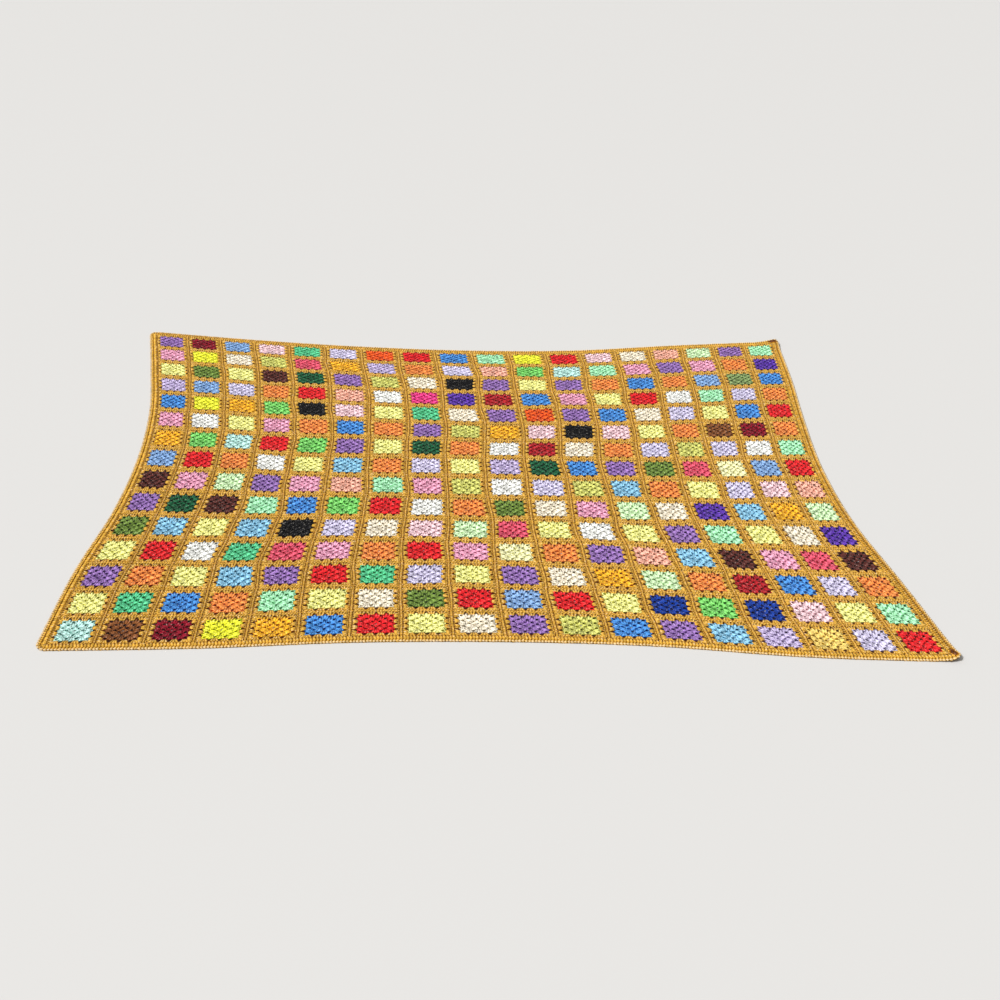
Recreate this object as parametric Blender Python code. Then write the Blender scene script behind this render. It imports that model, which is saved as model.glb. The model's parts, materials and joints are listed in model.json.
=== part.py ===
"""Granny square blanket spread flat: a field of joined squares inside a crocheted edging.

Metres, +Z up. The blanket lies on z = 0 with its longer side along X, its far side at +Y,
and the origin under the middle of its outline. Small squares joined this way draw in along
the middle of each side, so the four corners stand out from a true rectangle.
"""

import math

import bmesh
import bpy
from mathutils import Matrix, Vector

BLANKET = "granny_square_blanket"

# The squares and the edging, before anything draws in
SQUARES_ACROSS = 18
SQUARES_DEEP = 15
SQUARE = 0.095
EDGING_WIDTH = 0.017
FIELD_THICKNESS = 0.0040
EDGING_THICKNESS = 0.0045
SEAM_GAP = 0.0003

# Each corner of the field: how far it is drawn out along X and Y from a true rectangle,
# and how high its tip curls off the surface.
CORNERS = {
    "near_left": {"side": (-1, -1), "out": (0.008, 0.012), "lift": 0.0},
    "near_right": {"side": (1, -1), "out": (0.031, 0.050), "lift": 0.006},
    "far_right": {"side": (1, 1), "out": (0.046, 0.061), "lift": 0.010},
    "far_left": {"side": (-1, 1), "out": (0.056, 0.059), "lift": 0.0},
}
LIFT_REACH = 0.075

# Each side of the field, going round anticlockwise: its two corners, and how far it is drawn
# in from the straight line between them at one sixth, one third, one half and so on.
SIDES = {
    "near": {"from": "near_left", "to": "near_right", "drawn_in": (0.014, 0.039, 0.047, 0.039, 0.010)},
    "right": {"from": "near_right", "to": "far_right", "drawn_in": (0.032, 0.067, 0.071, 0.050, 0.021)},
    "far": {"from": "far_right", "to": "far_left", "drawn_in": (0.040, 0.088, 0.100, 0.084, 0.049)},
    "left": {"from": "far_left", "to": "near_left", "drawn_in": (0.037, 0.069, 0.077, 0.061, 0.022)},
}

# The edging across its width, from the squares out to its cord-like rim: shares of its width
# and of its thickness.
EDGING_SECTION = [
    {"out": 0.00, "high": 0.88},
    {"out": 0.30, "high": 1.00},
    {"out": 0.50, "high": 0.90},
    {"out": 0.85, "high": 1.00},
    {"out": 1.00, "high": 0.45},
]

# How finely the cloth is divided
CELLS_PER_SQUARE = 2
CORNER_STEPS = 5

MUSTARD = (0.70, 0.32, 0.022, 1.0)
MIXED_YARN = (0.62, 0.42, 0.28, 1.0)
YARN_ROUGHNESS = 0.9


def clear_scene():
    """Take the default objects out."""
    for thing in list(bpy.data.objects):
        bpy.data.objects.remove(thing, do_unlink=True)


def new_collection(name):
    """A collection of its own for the blanket's parts."""
    collection = bpy.data.collections.new(name)
    bpy.context.scene.collection.children.link(collection)
    return collection


def yarn_material(name, colour):
    """A plain matt yarn finish."""
    material = bpy.data.materials.new(name)
    material.use_nodes = True
    shader = material.node_tree.nodes["Principled BSDF"]
    shader.inputs["Base Color"].default_value = colour
    shader.inputs["Roughness"].default_value = YARN_ROUGHNESS
    shader.inputs["Metallic"].default_value = 0.0
    return material


def through_points(share, values):
    """A smooth curve through evenly spaced values, read at a share from 0 to 1 of its length."""
    place = min(max(share, 0.0), 1.0) * (len(values) - 1)
    first = min(int(place), len(values) - 2)
    t = place - first
    before = values[first - 1] if first > 0 else 2 * values[0] - values[1]
    after = values[first + 2] if first + 2 < len(values) else 2 * values[-1] - values[-2]
    start, end = values[first], values[first + 1]
    bend = 2 * before - 5 * start + 4 * end - after
    twist = 3 * (start - end) + after - before
    return start + 0.5 * t * (end - before + t * (bend + t * twist))


def corner_point(name):
    """A corner of the field of squares, before the outline is centred."""
    corner = CORNERS[name]
    half_width = SQUARES_ACROSS * SQUARE / 2
    half_depth = SQUARES_DEEP * SQUARE / 2
    across, deep = corner["side"]
    return Vector((across * (half_width + corner["out"][0]), deep * (half_depth + corner["out"][1])))


def side_point(name, share):
    """A point of one side of the field, at a share of the way round from its first corner."""
    side = SIDES[name]
    start, end = corner_point(side["from"]), corner_point(side["to"])
    chord = end - start
    inward = Vector((-chord.y, chord.x)).normalized()
    return start + chord * share + inward * through_points(share, (0.0, *side["drawn_in"], 0.0))


def field_point(across, deep):
    """The field's plan: shares across and deep, each 0 to 1, to a point between its four sides."""
    near, far = side_point("near", across), side_point("far", 1 - across)
    left, right = side_point("left", 1 - deep), side_point("right", deep)
    between_corners = (
        corner_point("near_left") * (1 - across) * (1 - deep)
        + corner_point("near_right") * across * (1 - deep)
        + corner_point("far_right") * across * deep
        + corner_point("far_left") * (1 - across) * deep
    )
    return near * (1 - deep) + far * deep + left * (1 - across) + right * across - between_corners


def field_outline():
    """Points and outward directions round the field, with a fan of directions at each corner."""
    steps = {
        "near": SQUARES_ACROSS * CELLS_PER_SQUARE,
        "right": SQUARES_DEEP * CELLS_PER_SQUARE,
        "far": SQUARES_ACROSS * CELLS_PER_SQUARE,
        "left": SQUARES_DEEP * CELLS_PER_SQUARE,
    }
    sides = []
    for name, count in steps.items():
        points = [side_point(name, i / count) for i in range(count + 1)]
        runs = [b - a for a, b in zip(points, points[1:])]
        along = [runs[0]] + [a + b for a, b in zip(runs, runs[1:])] + [runs[-1]]
        sides.append([(p, Vector((d.y, -d.x)).normalized()) for p, d in zip(points, along)])
    outline = []
    for side, following in zip(sides, sides[1:] + sides[:1]):
        outline += side
        (corner, start), (_, end) = side[-1], following[0]
        turn = start.angle_signed(end)
        for i in range(1, CORNER_STEPS):
            outline.append((corner, Matrix.Rotation(-turn * i / CORNER_STEPS, 2) @ start))
    return outline


def blanket_centre(outline):
    """The middle of the outer rim's box, which becomes the origin."""
    rim = [point + outward * EDGING_WIDTH for point, outward in outline]
    xs, ys = [p.x for p in rim], [p.y for p in rim]
    return Vector(((min(xs) + max(xs)) / 2, (min(ys) + max(ys)) / 2))


def lift(place):
    """How high the cloth stands off the surface, which is only near the curled corners."""
    height = 0.0
    for name, corner in CORNERS.items():
        tip = corner_point(name) + Vector(corner["side"]) * EDGING_WIDTH * math.sqrt(0.5)
        near_tip = max(0.0, 1 - (place - tip).length / LIFT_REACH)
        height += corner["lift"] * near_tip ** 2
    return height


def add_cloth(name, bm, material, collection):
    """Raise a surface into cloth, as thick at each point as its thickness layer says."""
    thickness = bm.verts.layers.float["thickness"]
    raised = bmesh.ops.extrude_face_region(bm, geom=list(bm.faces), use_keep_orig=True)["geom"]
    for item in raised:
        if isinstance(item, bmesh.types.BMVert):
            item.co.z += item[thickness]
    bmesh.ops.recalc_face_normals(bm, faces=bm.faces)
    mesh = bpy.data.meshes.new(name)
    bm.to_mesh(mesh)
    bm.free()
    mesh.materials.append(material)
    cloth = bpy.data.objects.new(name, mesh)
    collection.objects.link(cloth)
    return cloth


def make_field(centre, collection):
    """The 270 joined squares as one sheet."""
    bm = bmesh.new()
    thickness = bm.verts.layers.float.new("thickness")
    bmesh.ops.create_grid(
        bm,
        x_segments=SQUARES_ACROSS * CELLS_PER_SQUARE,
        y_segments=SQUARES_DEEP * CELLS_PER_SQUARE,
        size=0.5,
    )
    for vert in bm.verts:
        place = field_point(vert.co.x + 0.5, vert.co.y + 0.5)
        vert.co = (*(place - centre), lift(place))
        vert[thickness] = FIELD_THICKNESS
    return add_cloth("granny_field", bm, yarn_material("squares", MIXED_YARN), collection)


def make_edging(outline, centre, collection):
    """The crocheted edging as one closed band round the field."""
    bm = bmesh.new()
    thickness = bm.verts.layers.float.new("thickness")
    rings = []
    for row in EDGING_SECTION:
        ring = []
        for point, outward in outline:
            place = point + outward * (SEAM_GAP + row["out"] * (EDGING_WIDTH - SEAM_GAP))
            vert = bm.verts.new((*(place - centre), lift(place)))
            vert[thickness] = row["high"] * EDGING_THICKNESS
            ring.append(vert)
        rings.append(ring)
    for inner, outer in zip(rings, rings[1:]):
        for i in range(len(outline)):
            j = (i + 1) % len(outline)
            bm.faces.new((inner[i], outer[i], outer[j], inner[j]))
    return add_cloth("edging", bm, yarn_material("edging", MUSTARD), collection)


def main():
    clear_scene()
    collection = new_collection(BLANKET)
    outline = field_outline()
    centre = blanket_centre(outline)
    make_field(centre, collection)
    make_edging(outline, centre, collection)


main()
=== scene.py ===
"""Granny square blanket: the crochet of a patchwork blanket, stitch by stitch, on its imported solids.

Metres, +Z up. Each stitch is first placed on a flat chart, where every square is a true square,
and Geometry Nodes then lay the whole chart on the cloth's real shape: drawn in along its sides,
a little uneven, and curled at two corners.
"""

import json
import math
import random
from functools import partial

import bmesh
import bpy
import numpy as np
from bpy.props import (
    FloatProperty,
    FloatVectorProperty,
    IntProperty,
    PointerProperty,
)
from mathutils import Matrix, Vector, noise

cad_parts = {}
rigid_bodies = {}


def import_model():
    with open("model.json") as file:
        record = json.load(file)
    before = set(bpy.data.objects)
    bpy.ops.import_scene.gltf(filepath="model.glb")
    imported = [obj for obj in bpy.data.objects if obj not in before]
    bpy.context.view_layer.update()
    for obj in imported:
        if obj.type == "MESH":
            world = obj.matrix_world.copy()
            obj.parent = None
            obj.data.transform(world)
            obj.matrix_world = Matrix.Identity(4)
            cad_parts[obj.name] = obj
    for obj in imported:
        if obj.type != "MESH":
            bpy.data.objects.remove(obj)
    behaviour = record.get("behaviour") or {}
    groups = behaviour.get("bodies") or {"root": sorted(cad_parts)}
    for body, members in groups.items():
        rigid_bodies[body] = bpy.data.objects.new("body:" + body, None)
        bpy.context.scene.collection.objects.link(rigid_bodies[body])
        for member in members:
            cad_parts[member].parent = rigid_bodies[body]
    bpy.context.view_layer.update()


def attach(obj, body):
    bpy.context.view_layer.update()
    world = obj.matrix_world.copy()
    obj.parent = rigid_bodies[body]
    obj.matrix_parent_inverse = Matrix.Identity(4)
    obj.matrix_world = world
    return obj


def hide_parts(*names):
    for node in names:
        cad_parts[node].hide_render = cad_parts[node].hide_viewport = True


bl_info = {
    "name": "Granny Square Blanket",
    "version": (1, 0, 0),
    "blender": (4, 5, 0),
    "location": "3D View > Sidebar > Blanket",
    "description": "Crochets a patchwork blanket of granny squares over its packed solids",
    "category": "Add Mesh",
}

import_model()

# The squares and the edging, before anything draws in
SQUARES_ACROSS = 18
SQUARES_DEEP = 15
SQUARE = 0.095
EDGING_WIDTH = 0.017
FIELD_SIZE = Vector((SQUARES_ACROSS * SQUARE, SQUARES_DEEP * SQUARE))

# Each corner of the field: which way it lies from the middle, how far it is drawn out from a
# true rectangle, and how high its tip curls off the surface. The curl reaches LIFT_REACH inwards.
CORNERS = {
    "near_left": {"side": (-1, -1), "out": (0.008, 0.012), "lift": 0.0},
    "near_right": {"side": (1, -1), "out": (0.031, 0.050), "lift": 0.006},
    "far_right": {"side": (1, 1), "out": (0.046, 0.061), "lift": 0.010},
    "far_left": {"side": (-1, 1), "out": (0.056, 0.059), "lift": 0.0},
}
LIFT_REACH = 0.075

# The very tips of the curled corners stand up steeply: how far they reach, how much higher each
# gets, and the hollow inside each, which little light enters and whose shade is painted on the
# yarn, as its middle from the field's corner and half its length and width
TIP_REACH = 0.024
TIP_LIFTS = {"near_right": 0.0055, "far_right": 0.0015}
HOLLOWS = {
    "near_right": {"from_corner": (0.005, 0.008), "half_size": (0.008, 0.017)},
    "far_right": {"from_corner": (0.000, 0.006), "half_size": (0.016, 0.011)},
}
# How dark the painted shade in the hollows is
HOLLOW_SHADE = 0.80
# Where a hollow's painted shade starts to fade and where it ends, as shares of its half size
HOLLOW_FADE = (0.45, 1.15)

# Each side of the field, anticlockwise: its two corners, and how far it is drawn in from the
# straight line between them at one sixth, one third, one half and so on.
SIDES = {
    "near": {"from": "near_left", "to": "near_right", "drawn_in": (0.014, 0.039, 0.047, 0.039, 0.010)},
    "right": {"from": "near_right", "to": "far_right", "drawn_in": (0.032, 0.067, 0.071, 0.050, 0.021)},
    "far": {"from": "far_right", "to": "far_left", "drawn_in": (0.040, 0.088, 0.100, 0.084, 0.049)},
    "left": {"from": "far_left", "to": "near_left", "drawn_in": (0.037, 0.069, 0.077, 0.061, 0.022)},
}
# In how many straight steps the outline follows a side, and turns round a corner
SIDE_STEPS = 72
CORNER_STEPS = 6

# The outermost squares are stretched a little less than the middle ones
OUTER_SQUEEZE = 0.025

# How squares stray from their places: in waves this many squares long, with finer ones at a
# share of their strength. Waves seldom pass half their strength, so the shift is doubled.
STRAY_SPAN = 2.2
FINE_STRAY = {"scale": 2.6, "share": 0.6}
STRAY_DOUBLED = 2

# How the cloth swells: the scale of its waves against the stray's, and the share of the swell
# about which they rise and fall. Within one part in this many of a side, both die away.
SWELL_SCALE = 0.8
SWELL_LEVEL = 0.5
SIDES_STAY = 12

# Far enough apart in the noise to be unrelated: two seeds, two directions, and the swell
NOISE_SEEDS_APART = 7.3
SECOND_NOISE = Vector((0, 0, 9.7))
SWELL_NOISE = Vector((0, 31, 0))

# How finely the hidden surfaces under the stitches are divided, and how many cells they reach
# past their own outline
CLOTH_CELLS = 4
CLOTH_MARGIN = 1
EDGING_CELL = SQUARE / 12
EDGING_CELLS = 5
EDGING_MARGIN = 2

# The yarns: colour, the piece its squares belong to, and how many squares have it
YARNS = [
    {"name": "red", "colour": (235, 38, 45), "piece": "red_squares", "squares": 16},
    {"name": "coral_pink", "colour": (235, 95, 120), "piece": "red_squares", "squares": 5},
    {"name": "hot_pink", "colour": (245, 70, 150), "piece": "red_squares", "squares": 1},
    {"name": "maroon", "colour": (185, 35, 45), "piece": "red_squares", "squares": 3},
    {"name": "burgundy", "colour": (145, 15, 40), "piece": "red_squares", "squares": 3},
    {"name": "orange", "colour": (248, 154, 78), "piece": "orange_squares", "squares": 22},
    {"name": "deep_orange", "colour": (245, 100, 35), "piece": "orange_squares", "squares": 2},
    {"name": "peach", "colour": (250, 190, 168), "piece": "orange_squares", "squares": 6},
    {"name": "tan", "colour": (245, 215, 120), "piece": "orange_squares", "squares": 1},
    {"name": "golden", "colour": (250, 190, 45), "piece": "orange_squares", "squares": 7},
    {"name": "light_yellow", "colour": (252, 250, 160), "piece": "yellow_squares", "squares": 24},
    {"name": "pale_yellow", "colour": (252, 250, 196), "piece": "yellow_squares", "squares": 2},
    {"name": "bright_yellow", "colour": (250, 250, 65), "piece": "yellow_squares", "squares": 4},
    {"name": "pink", "colour": (243, 176, 202), "piece": "pink_squares", "squares": 13},
    {"name": "pale_pink", "colour": (250, 216, 222), "piece": "pink_squares", "squares": 8},
    {"name": "cream", "colour": (250, 240, 218), "piece": "white_squares", "squares": 13},
    {"name": "white", "colour": (250, 250, 245), "piece": "white_squares", "squares": 10},
    {"name": "pale_lavender", "colour": (222, 215, 241), "piece": "purple_squares", "squares": 14},
    {"name": "lilac", "colour": (207, 192, 229), "piece": "purple_squares", "squares": 4},
    {"name": "purple", "colour": (162, 124, 192), "piece": "purple_squares", "squares": 20},
    {"name": "indigo", "colour": (100, 60, 176), "piece": "purple_squares", "squares": 4},
    {"name": "bright_blue", "colour": (82, 154, 226), "piece": "blue_squares", "squares": 14},
    {"name": "cornflower", "colour": (146, 184, 230), "piece": "blue_squares", "squares": 6},
    {"name": "sky", "colour": (152, 208, 236), "piece": "blue_squares", "squares": 8},
    {"name": "pale_aqua", "colour": (200, 240, 232), "piece": "blue_squares", "squares": 3},
    {"name": "navy", "colour": (25, 65, 160), "piece": "blue_squares", "squares": 2},
    {"name": "mint", "colour": (184, 246, 200), "piece": "green_squares", "squares": 10},
    {"name": "pale_mint", "colour": (222, 250, 202), "piece": "green_squares", "squares": 6},
    {"name": "emerald", "colour": (98, 210, 154), "piece": "green_squares", "squares": 5},
    {"name": "bright_green", "colour": (136, 220, 116), "piece": "green_squares", "squares": 6},
    {"name": "lime", "colour": (220, 220, 122), "piece": "green_squares", "squares": 7},
    {"name": "olive", "colour": (122, 150, 66), "piece": "green_squares", "squares": 5},
    {"name": "sage", "colour": (140, 165, 105), "piece": "green_squares", "squares": 1},
    {"name": "dark_green", "colour": (30, 100, 65), "piece": "green_squares", "squares": 4},
    {"name": "brown", "colour": (142, 86, 44), "piece": "dark_squares", "squares": 2},
    {"name": "dark_brown", "colour": (96, 46, 40), "piece": "dark_squares", "squares": 5},
    {"name": "black", "colour": (15, 15, 20), "piece": "dark_squares", "squares": 4},
]
MUSTARD = (218, 170, 66)
# How the squares are scattered: the shuffle's seed, and how many swaps are then tried
SCATTER_SEED = 11
SCATTER_SWAPS = 6000

# Upright stitches from foot to top: shares of their length, width and height, and how exposed
# their backs and their edges are, from 0 deep between others to 1 on top, which sets their
# painted shade and, on the topmost yarn, a painted highlight.
TREBLE = [
    {"along": 0.00, "wide": 0.52, "high": 0.76, "bare": 0.75, "edge": 0.46},
    {"along": 0.55, "wide": 1.00, "high": 1.00, "bare": 1.00, "edge": 0.56},
    {"along": 1.00, "wide": 1.00, "high": 0.86, "bare": 0.90, "edge": 0.56},
]
MUSTARD_TREBLE = [
    {"along": 0.00, "wide": 0.56, "high": 0.78, "bare": 0.90, "edge": 0.45},
    {"along": 1.00, "wide": 0.84, "high": 0.94, "bare": 1.00, "edge": 0.62},
]
SHORT_STITCH = [
    {"along": 0.00, "wide": 0.94, "high": 0.72, "bare": 0.80, "edge": 0.42},
    {"along": 0.45, "wide": 1.00, "high": 1.00, "bare": 1.00, "edge": 0.42},
    {"along": 1.00, "wide": 0.94, "high": 0.76, "bare": 0.80, "edge": 0.42},
]
RIM_STITCH = [
    {"along": 0.00, "wide": 0.94, "high": 0.60, "bare": 0.10, "edge": 0.10},
    {"along": 1.00, "wide": 0.94, "high": 1.00, "bare": 1.00, "edge": 0.30},
]
# The strands that cross low down below the spaces, as one flat strip that bends with the cloth
# and fills the spaces from below. Being little bare, it takes painted deep shade, so the spaces
# look dark.
WEB = [
    {"along": along, "wide": 1.00, "high": 1.00, "bare": 0.10, "edge": 0.10} for along in (0, 1 / 3, 2 / 3, 1)
]
# How high an upright stitch's edges lie, and a chain's loop is widest, as shares of its height
STITCH_EDGE = 0.06
CHAIN_WAIST = 0.36

# How bare the loops of each chain are at their ends and at their sides, which sets their painted
# shade and painted highlight
CHAIN_BARE = {
    "round": (0.45, 0.35),
    "mustard": (0.80, 0.35),
    "seam": (0.95, 0.25),
    "rim": (0.30, 0.62),
}

# The first round's stitches are narrower and fan out of the ring. Other clusters start a little
# way under the round inside them, and closer together where that is in its corner.
FIRST_ROUND_WIDTH = 0.7
FIRST_ROUND_FAN = math.radians(30)
FOOT_TUCK = 0.0016
CORNER_FOOT_TUCK = 0.0012
CORNER_FEET = 0.8
WEB_TUCK = 0.002

# The corner stitch of the mustard round and the tip of every round's chain: how far they keep
# from the corner, as shares of the corner space
CORNER_STITCH_FOOT = 0.4
CORNER_TIP = 0.2

# Chains: how much longer a loop is than its share of the round, how high it starts on the
# stitches, as a share of their height, and how much it slants across the round
CHAIN_OVERLAP = 1.4
CHAIN_START = 0.30
CHAIN_SLANT = math.radians(12)

# The ring in a square's middle: how many loops it has, their length and place as shares of its
# radius, and how wide and high they are and how high they start
CENTRE_LOOPS = {"count": 5, "long": 1.5, "out": 0.8, "wide": 0.0022, "high": 0.0026, "low": 0.0004}

# The two strands of a seam's ridge and the knots where four squares meet. Lengths of stitches
# are shares of their pitch, heights shares of the ridge's, and the knots' sizes are lengths.
SEAM_STRAND_ASIDE = 0.27
SEAM_LEAN = math.radians(7)
SEAM_OVERLAP = 2.0
SEAM_HEIGHTS = {"along_y": 1.0, "along_x": 0.8}
KNOT = {"long": 0.014, "wide": 0.012, "high": 0.6}

# The holes between clusters, whose shade is painted on the yarn: how far out in their round
# they lie, as a share of its width, how much longer they are along it than across it, and how
# far they stray
HOLE_OUT = 0.34
HOLE_STRETCH = 1.25
HOLE_STRAY = 0.004
HOLE_STRAY_SCALE = 60.0
# The painted shade of some holes spreads wider and of others nearly fades: by how much, where
# the noise leaves one as it is, and the scale of that noise
HOLE_VARIATION = 1.6
HOLE_USUAL = 0.42
HOLE_VARIATION_SCALE = 45.0
# Where a hole's painted shade starts to fade and where it ends, as shares of its size
HOLE_FADE = (0.25, 0.60)

# The grooves beside the seams, whose shade is painted: how far from a seam's line, how wide, and
# how dark their painted shade is beside the seams along Y and beside those along X
GROOVE_ASIDE = 0.0031
GROOVE_WIDTH = 0.0020
GROOVE_SHADES = {"X": 0.75, "Y": 0.28}

# Holes near a square's middle have lighter painted shade: how dark one is at each distance out
HOLE_SHADES = [{"out": 0.010, "deep": 0.75}, {"out": 0.034, "deep": 1.0}]

# The edging's two grooves, whose shade is painted: how far out, how wide, and how dark their
# painted shade is along the blanket's left and right sides and along its near and far ones, where
# the ribs run across them
EDGING_GROOVES = [
    {"out": 0.0004, "wide": 0.0026, "sides": 0.38, "ends": 0.12},
    {"out": 0.0083, "wide": 0.0030, "sides": 0.58, "ends": 0.15},
]


def linear(colour):
    """A colour as screens give it, 0 to 255, in the linear values that shaders take."""
    shares = [c / 255 for c in colour]
    return tuple(c / 12.92 if c <= 0.04045 else ((c + 0.055) / 1.055) ** 2.4 for c in shares)


# ---------------------------------------------------------------- sizes and colours


class BlanketSizes(bpy.types.PropertyGroup):
    """Sizes of the stitches, before the cloth draws in."""

    round_tops: FloatVectorProperty(
        name="Round tops",
        description="From a square's middle out to the top of each of its four rounds",
        size=4,
        default=(0.0122, 0.0236, 0.0349, 0.0437),
        unit="LENGTH",
    )
    corner_spaces: FloatVectorProperty(
        name="Corner spaces",
        description="Between a side's last stitch and the square's corner, in each of its four rounds",
        size=4,
        default=(0.0050, 0.0056, 0.0058, 0.0036),
        unit="LENGTH",
    )
    centre_ring: FloatProperty(
        name="Centre ring",
        description="Radius of the chain ring in the middle of a square",
        default=0.0034,
        unit="LENGTH",
    )
    foot_spacing: FloatProperty(
        name="Foot spacing",
        description="Between the feet of neighbouring stitches of a coloured cluster",
        default=0.0034,
        unit="LENGTH",
    )
    mustard_foot_spacing: FloatProperty(
        name="Mustard foot spacing",
        description="Between the feet of neighbouring stitches of a mustard cluster",
        default=0.0030,
        unit="LENGTH",
    )
    cluster_crown: FloatProperty(
        name="Cluster crown",
        description="How much further out a cluster's middle stitch stands than its outer two",
        default=0.0032,
        unit="LENGTH",
    )
    stitch_width: FloatProperty(
        name="Stitch width",
        description="Width of a treble stitch where it is widest",
        default=0.0086,
        unit="LENGTH",
    )
    stitch_height: FloatProperty(
        name="Stitch height",
        description="How thick a treble stitch is",
        default=0.0021,
        unit="LENGTH",
    )
    stitch_low: FloatProperty(
        name="Stitch underside",
        description="How high the undersides of treble stitches lie off the surface",
        default=0.0006,
        unit="LENGTH",
    )
    # How wide the painted shade of each hole is
    hole_shade_size: FloatProperty(
        name="Hole size",
        description="Across the holes between clusters",
        default=0.0066,
        unit="LENGTH",
    )
    web_height: FloatProperty(
        name="Web height",
        description="How high the strands lie that cross below the spaces between clusters",
        default=0.0010,
        unit="LENGTH",
    )
    chain_width: FloatProperty(
        name="Chain width",
        description="Width of the chain along the top of a round",
        default=0.0037,
        unit="LENGTH",
    )
    chain_height: FloatProperty(
        name="Chain height",
        description="Thickness of the chain along the top of a round",
        default=0.0020,
        unit="LENGTH",
    )
    seam_strand_width: FloatProperty(
        name="Seam strand width",
        description="Width of either of the two strands of a seam's ridge",
        default=0.0034,
        unit="LENGTH",
    )
    seam_height: FloatProperty(
        name="Seam height",
        description="How high the ridge of a seam stands",
        default=0.0047,
        unit="LENGTH",
    )
    seam_stitches: IntProperty(
        name="Seam stitches",
        description="How many stitches join one side of a square to the next square",
        default=16,
        min=1,
    )
    rib_pitch: FloatProperty(
        name="Rib pitch",
        description="Between neighbouring short stitches of the edging",
        default=0.0064,
        unit="LENGTH",
    )
    unevenness: FloatProperty(
        name="Unevenness",
        description="Share by which hand-made stitches differ in size",
        default=0.10,
        subtype="FACTOR",
        min=0.0,
        max=1.0,
    )
    turn_unevenness: FloatProperty(
        name="Turn unevenness",
        description="Angle by which hand-made stitches differ in direction",
        default=math.radians(5),
        subtype="ANGLE",
    )
    square_shift: FloatProperty(
        name="Square shift",
        description="How far hand-joined squares stray from their places",
        default=0.0035,
        unit="LENGTH",
    )
    swell: FloatProperty(
        name="Swell",
        description="How far the cloth swells off the surface between its flat places",
        default=0.0012,
        unit="LENGTH",
    )
    seed: IntProperty(
        name="Seed",
        description="Picks one of the possible uneven blankets",
        default=5,
        min=0,
    )


def yarn_colour_property(yarn):
    """The colour of one yarn, as a property."""
    label = yarn["name"].replace("_", " ").capitalize()
    return FloatVectorProperty(
        name=label,
        description=f"Colour of the {label.lower()} yarn",
        size=3,
        default=linear(yarn["colour"]),
        min=0.0,
        max=1.0,
        subtype="COLOR",
    )


class BlanketYarns(bpy.types.PropertyGroup):
    """Colours of the yarns."""

    __annotations__ = {
        yarn["name"]: yarn_colour_property(yarn)
        for yarn in [*YARNS, {"name": "mustard", "colour": MUSTARD}]
    }


# ---------------------------------------------------------------- the cloth's shape


def through_points(share, values):
    """A smooth curve through evenly spaced values, read at a share from 0 to 1 of its length."""
    place = min(max(share, 0.0), 1.0) * (len(values) - 1)
    first = min(int(place), len(values) - 2)
    t = place - first
    before = values[first - 1] if first > 0 else 2 * values[0] - values[1]
    after = values[first + 2] if first + 2 < len(values) else 2 * values[-1] - values[-2]
    start, end = values[first], values[first + 1]
    bend = 2 * before - 5 * start + 4 * end - after
    twist = 3 * (start - end) + after - before
    return start + 0.5 * t * (end - before + t * (bend + t * twist))


def corner_point(name):
    """A corner of the field of squares, before the outline is centred."""
    corner = CORNERS[name]
    ways = zip(corner["side"], FIELD_SIZE, corner["out"])
    return Vector(side * (size / 2 + out) for side, size, out in ways)


def side_point(name, share):
    """A point of one side of the field, at a share of the way from its first corner."""
    side = SIDES[name]
    start, end = corner_point(side["from"]), corner_point(side["to"])
    chord = end - start
    inward = Vector((-chord.y, chord.x)).normalized()
    return start + chord * share + inward * through_points(share, (0.0, *side["drawn_in"], 0.0))


def field_point(across, deep):
    """The field's plan: shares across and deep, each 0 to 1, to a point between its four sides."""
    near, far = side_point("near", across), side_point("far", 1 - across)
    left, right = side_point("left", 1 - deep), side_point("right", deep)
    between_corners = (
        corner_point("near_left") * (1 - across) * (1 - deep)
        + corner_point("near_right") * across * (1 - deep)
        + corner_point("far_right") * across * deep
        + corner_point("far_left") * (1 - across) * deep
    )
    return near * (1 - deep) + far * deep + left * (1 - across) + right * across - between_corners


def squeezed(share):
    """Moves shares near 0 and 1 inwards, which narrows the squares there."""
    middle = 2 * share - 1
    return share + OUTER_SQUEEZE * middle * (1 - middle * middle)


def outline():
    """Points and outward directions round the field, with a fan of directions at each corner."""
    sides = []
    for name in SIDES:
        points = [side_point(name, i / SIDE_STEPS) for i in range(SIDE_STEPS + 1)]
        runs = [b - a for a, b in zip(points, points[1:])]
        along = [runs[0]] + [a + b for a, b in zip(runs, runs[1:])] + [runs[-1]]
        sides.append([(p, Vector((d.y, -d.x)).normalized()) for p, d in zip(points, along)])
    path = []
    for side, following in zip(sides, sides[1:] + sides[:1]):
        path += side
        (corner, start), (_, end) = side[-1], following[0]
        turn = start.angle_signed(end)
        for i in range(1, CORNER_STEPS):
            path.append((corner, Matrix.Rotation(-turn * i / CORNER_STEPS, 2) @ start))
    return path


def blanket_centre(path):
    """The middle of the outer rim's box, which is the origin."""
    rim = [point + outward * EDGING_WIDTH for point, outward in path]
    xs, ys = [p.x for p in rim], [p.y for p in rim]
    return Vector(((min(xs) + max(xs)) / 2, (min(ys) + max(ys)) / 2))


def corner_tip(name):
    """The rim's tip at a corner."""
    return corner_point(name) + Vector(CORNERS[name]["side"]) * EDGING_WIDTH * math.sqrt(0.5)


def lift(place):
    """How high the cloth stands off the surface near the curled corners."""
    height = 0.0
    for name, corner in CORNERS.items():
        if corner["lift"]:
            away = (place - corner_tip(name)).length
            height += corner["lift"] * max(0.0, 1 - away / LIFT_REACH) ** 2
            height += TIP_LIFTS[name] * max(0.0, 1 - away / TIP_REACH)
    return height


OUTLINE = outline()
CENTRE = blanket_centre(OUTLINE)


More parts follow.
